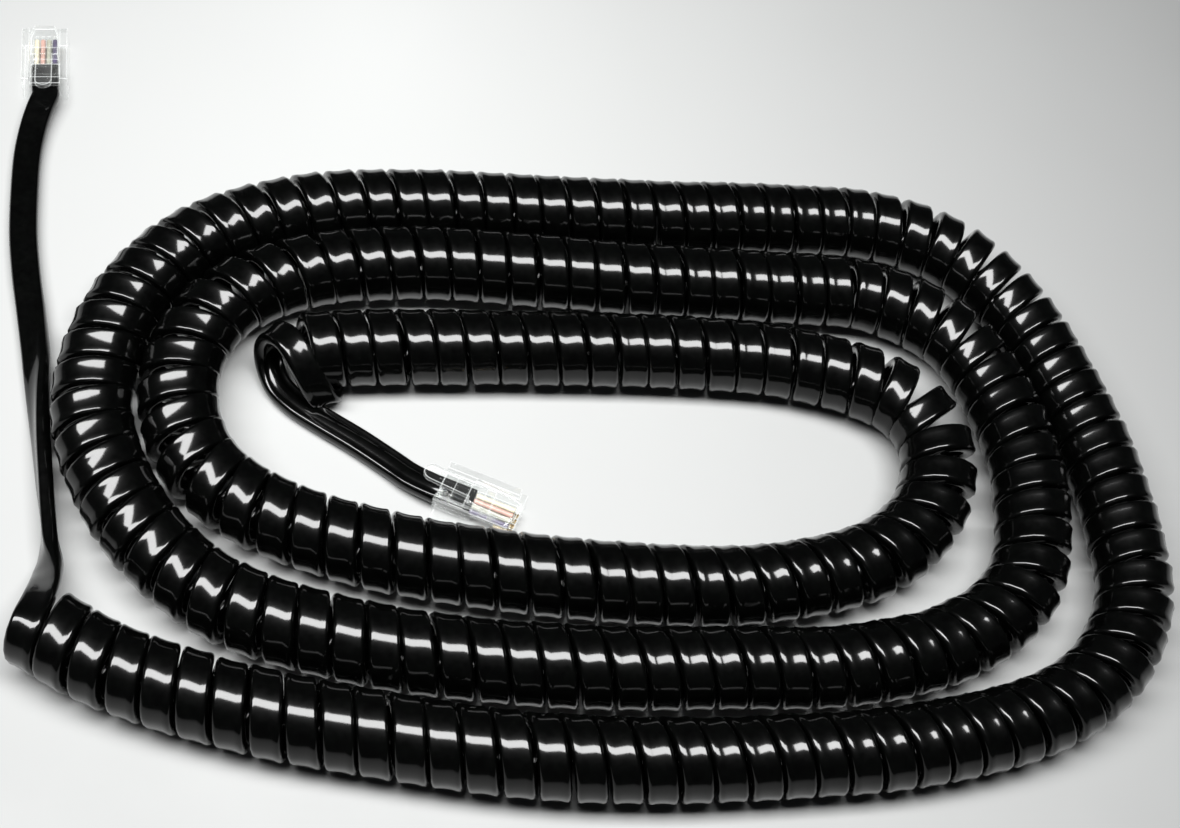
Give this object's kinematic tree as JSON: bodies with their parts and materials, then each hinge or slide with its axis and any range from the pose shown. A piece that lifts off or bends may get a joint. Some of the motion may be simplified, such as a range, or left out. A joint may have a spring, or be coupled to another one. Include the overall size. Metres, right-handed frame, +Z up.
{
  "type": "coiled telephone handset cord",
  "caption": "Black coiled flat telephone handset cord laid as an oval spiral, with a clear latching modular plug on each straight end.",
  "frame": {"origin": "on the surface the cord lies on, under the middle of the whole cord's box", "axes": "+X along the long side of the oval spiral, +Y towards the plug of the outer lead, +Z up"},
  "size_m": [0.1869, 0.1451, 0.012],
  "materials": {
    "cord_jacket": "gloss",
    "clear_plastic": "clear",
    "contact_gold": "polished",
    "wire_yellow": "satin",
    "wire_green": "satin",
    "wire_red": "satin",
    "wire_black": "satin"
  },
  "bodies": {
    "root": {"coiled_cord": "cord_jacket", "lead_a": "cord_jacket", "lead_b": "cord_jacket", "plug_a_body": "clear_plastic", "plug_a_jacket_anchor": "clear_plastic", "plug_a_wire_anchor": "clear_plastic", "plug_a_contact_1": "contact_gold", "plug_a_contact_2": "contact_gold", "plug_a_contact_3": "contact_gold", "plug_a_contact_4": "contact_gold", "plug_a_conductor_yellow": "wire_yellow", "plug_a_conductor_green": "wire_green", "plug_a_conductor_red": "wire_red", "plug_a_conductor_black": "wire_black", "plug_b_body": "clear_plastic", "plug_b_jacket_anchor": "clear_plastic", "plug_b_wire_anchor": "clear_plastic", "plug_b_contact_1": "contact_gold", "plug_b_contact_2": "contact_gold", "plug_b_contact_3": "contact_gold", "plug_b_contact_4": "contact_gold", "plug_b_conductor_yellow": "wire_yellow", "plug_b_conductor_green": "wire_green", "plug_b_conductor_red": "wire_red", "plug_b_conductor_black": "wire_black"},
    "latch_a": {"plug_a_latch": "clear_plastic"},
    "latch_b": {"plug_b_latch": "clear_plastic"}
  },
  "joints": [
    {"name": "plug_a_latch_press", "type": "hinge", "parent": "root", "child": "latch_a", "pos_m": [-0.08968, 0.07166, 0.00485], "axis": [0.9969, 0.0785, 0], "range_deg": [0, 5.5], "stiffness_Nm_per_rad": 0.25},
    {"name": "plug_b_latch_press", "type": "hinge", "parent": "root", "child": "latch_b", "pos_m": [-0.01078, -0.02508, 0.00485], "axis": [-0.4067, -0.9135, 0], "range_deg": [0, 5.5], "stiffness_Nm_per_rad": 0.25}
  ]
}
